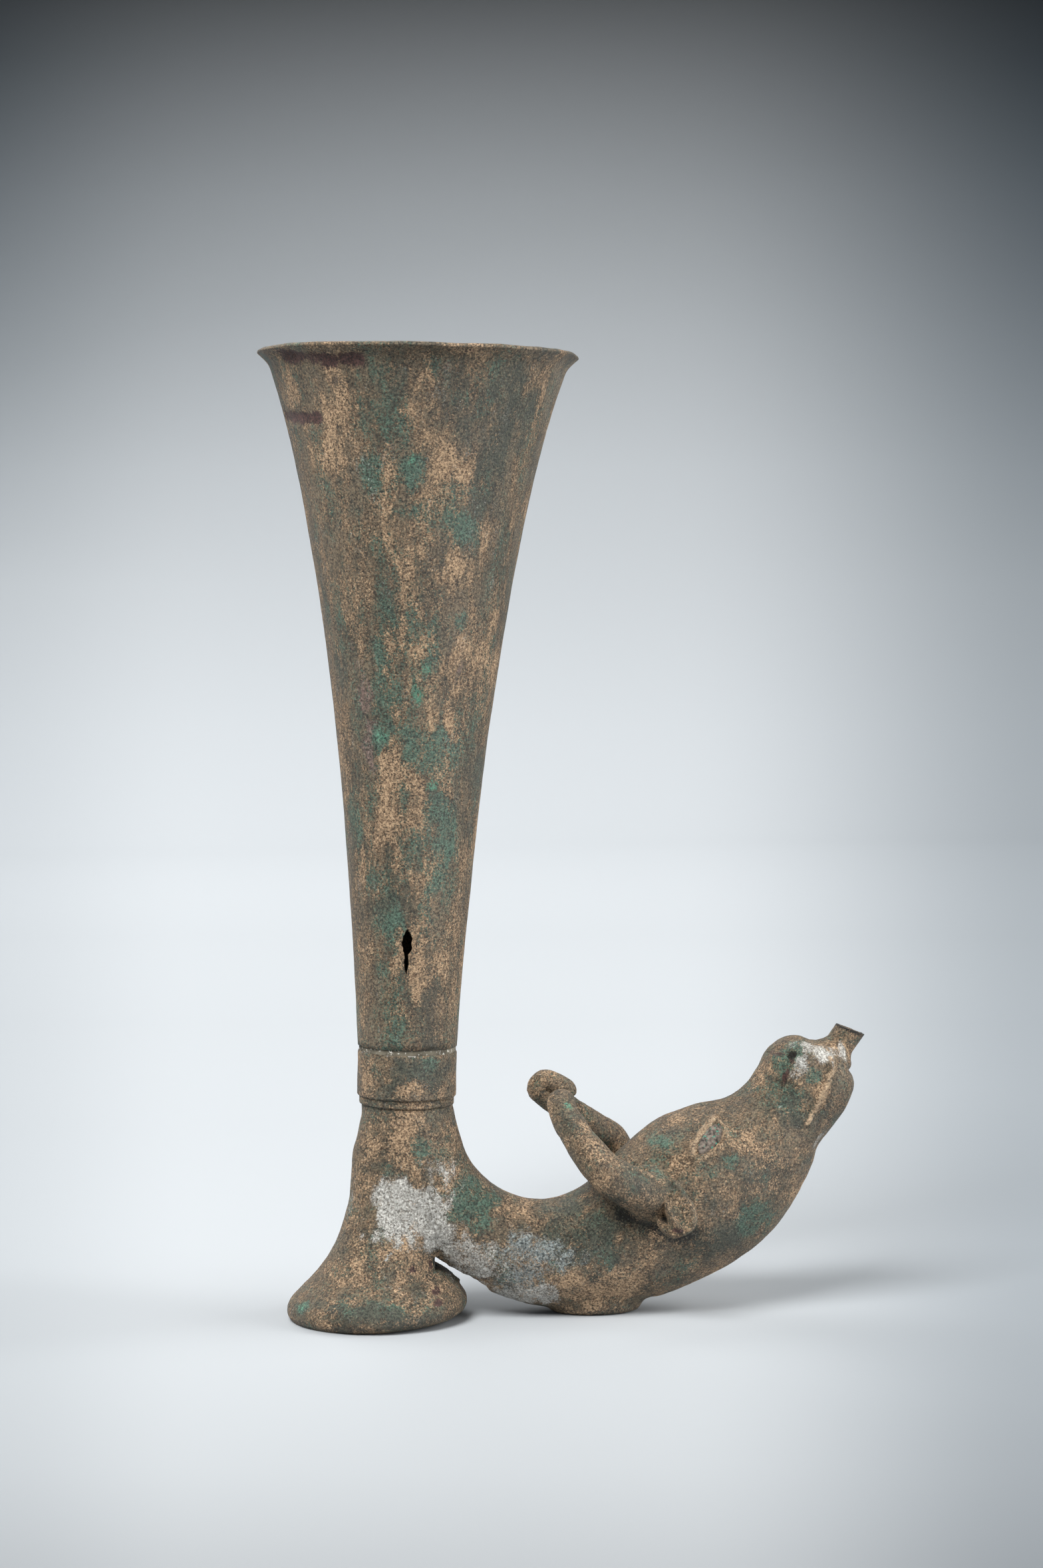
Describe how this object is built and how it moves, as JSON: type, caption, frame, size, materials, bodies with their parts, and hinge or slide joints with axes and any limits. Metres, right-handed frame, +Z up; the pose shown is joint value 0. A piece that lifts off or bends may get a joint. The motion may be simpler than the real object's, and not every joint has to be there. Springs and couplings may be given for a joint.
{
  "type": "bronze rhyton",
  "caption": "Bronze drinking horn: a tall flared beaker on a cast bend that ends in a bull's head with hooked horns and a pouring spout, on a bell foot.",
  "frame": {"origin": "middle of the bounding box on the table plane", "axes": "+X towards the bull's muzzle, +Y to the animal's left, +Z up along the beaker"},
  "size_m": [0.186, 0.0958, 0.292],
  "materials": {
    "patinated_bronze": "buried bronze with a matt brown and green crust",
    "lead_tin_solder": "matt white corroded lead and tin",
    "eye_inlay": "dull grey mineral inlay"
  },
  "bodies": {
    "root": {"beaker": "patinated_bronze", "collar": "patinated_bronze", "elbow": "patinated_bronze", "foot": "patinated_bronze", "chest_pad": "patinated_bronze", "head": "patinated_bronze", "spout": "patinated_bronze", "right_horn": "patinated_bronze", "left_horn": "patinated_bronze", "right_ear": "patinated_bronze", "left_ear": "patinated_bronze", "upper_collar_solder": "lead_tin_solder", "lower_collar_solder": "lead_tin_solder", "foot_lead_bed": "lead_tin_solder", "right_eye": "eye_inlay", "left_eye": "eye_inlay"}
  },
  "joints": []
}
